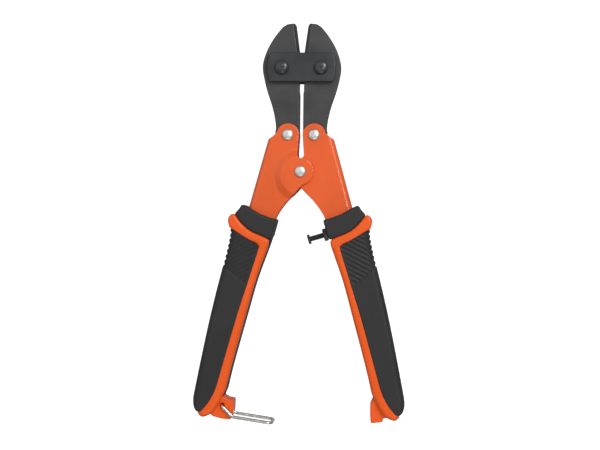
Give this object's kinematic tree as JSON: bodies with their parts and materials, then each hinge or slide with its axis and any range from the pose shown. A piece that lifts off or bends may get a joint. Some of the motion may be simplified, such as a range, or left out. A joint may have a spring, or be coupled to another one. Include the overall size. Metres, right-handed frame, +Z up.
{
  "type": "bolt cutters",
  "caption": "Small hand bolt cutters, handles open, with compound-lever jaws, orange steel handles, black grip panels, a stop screw and a wire bail.",
  "frame": {"origin": "middle of the open tool's outline, on the plane that it rests on", "axes": "+Y towards the jaws, +X to the stop screw's side, +Z up out of the face that the tool shows when it lies down"},
  "size_m": [0.1094, 0.2076, 0.018],
  "materials": {
    "blade_steel": "black oxide, satin",
    "plate_steel": "black oxide, satin",
    "black_rivet": "black oxide, glossy",
    "orange_paint": "glossy enamel",
    "bright_rivet": "nickel plated",
    "plain_steel": "plain",
    "orange_plastic": "moulded, semi-matte",
    "black_rubber": "matte",
    "black_screw": "black oxide",
    "bright_wire": "bright plated"
  },
  "bodies": {
    "link_plates": {"front_link_plate": "plate_steel", "rear_link_plate": "plate_steel", "left_jaw_rivet": "black_rivet", "right_jaw_rivet": "black_rivet"},
    "left_jaw": {"left_jaw_blade": "blade_steel"},
    "right_jaw": {"right_jaw_blade": "blade_steel"},
    "left_handle": {"left_handle_channel": "orange_paint", "left_ear_rivet": "bright_rivet", "left_grip_body": "orange_plastic", "left_grip_panel": "black_rubber", "left_collar": "black_rubber", "center_rivet": "bright_rivet", "center_spacer": "plain_steel"},
    "right_handle": {"right_handle_channel": "orange_paint", "right_ear_rivet": "bright_rivet", "right_grip_body": "orange_plastic", "right_grip_panel": "black_rubber", "right_collar": "black_rubber", "stop_nut": "plain_steel"},
    "stop_screw": {"stop_screw": "black_screw"},
    "stop_locknut": {"stop_locknut": "black_screw"},
    "bail": {"bail_wire": "bright_wire"}
  },
  "joints": [
    {"name": "left_jaw_pivot", "type": "hinge", "parent": "link_plates", "child": "left_jaw", "pos_m": [-0.0101, 0.08038, 0.009], "axis": [0, 0, 1], "range_deg": [-7.5, 0]},
    {"name": "right_jaw_pivot", "type": "hinge", "parent": "link_plates", "child": "right_jaw", "pos_m": [0.0101, 0.08038, 0.009], "axis": [0, 0, 1], "range_deg": [0, 7.5]},
    {"name": "left_handle_close", "type": "hinge", "parent": "left_jaw", "child": "left_handle", "pos_m": [-0.0068, 0.04587, 0.009], "axis": [0, 0, 1], "range_deg": [0, 21.9]},
    {"name": "right_handle_close", "type": "hinge", "parent": "right_jaw", "child": "right_handle", "pos_m": [0.0068, 0.04587, 0.009], "axis": [0, 0, 1], "range_deg": [-21.9, 0]},
    {"name": "bail_swing", "type": "hinge", "parent": "left_handle", "child": "bail", "pos_m": [-0.0396, -0.09442, 0.009], "axis": [0, 0, 1], "range_deg": [-20.82, 0]},
    {"name": "stop_screw_adjust", "type": "slide", "parent": "right_handle", "child": "stop_screw", "axis": [0.9588, 0.284, 0], "range_m": [0, 0.003]},
    {"name": "stop_locknut_adjust", "type": "slide", "parent": "right_handle", "child": "stop_locknut", "axis": [-0.9588, -0.284, 0], "range_m": [0, 0.0025]}
  ],
  "couplings": [
    {"joint": "left_jaw_pivot", "follows": "left_handle_close", "ratio": -0.3415},
    {"joint": "right_jaw_pivot", "follows": "left_handle_close", "ratio": 0.3415},
    {"joint": "right_handle_close", "follows": "left_handle_close", "ratio": -1},
    {"joint": "bail_swing", "follows": "left_handle_close", "ratio": -0.95}
  ]
}
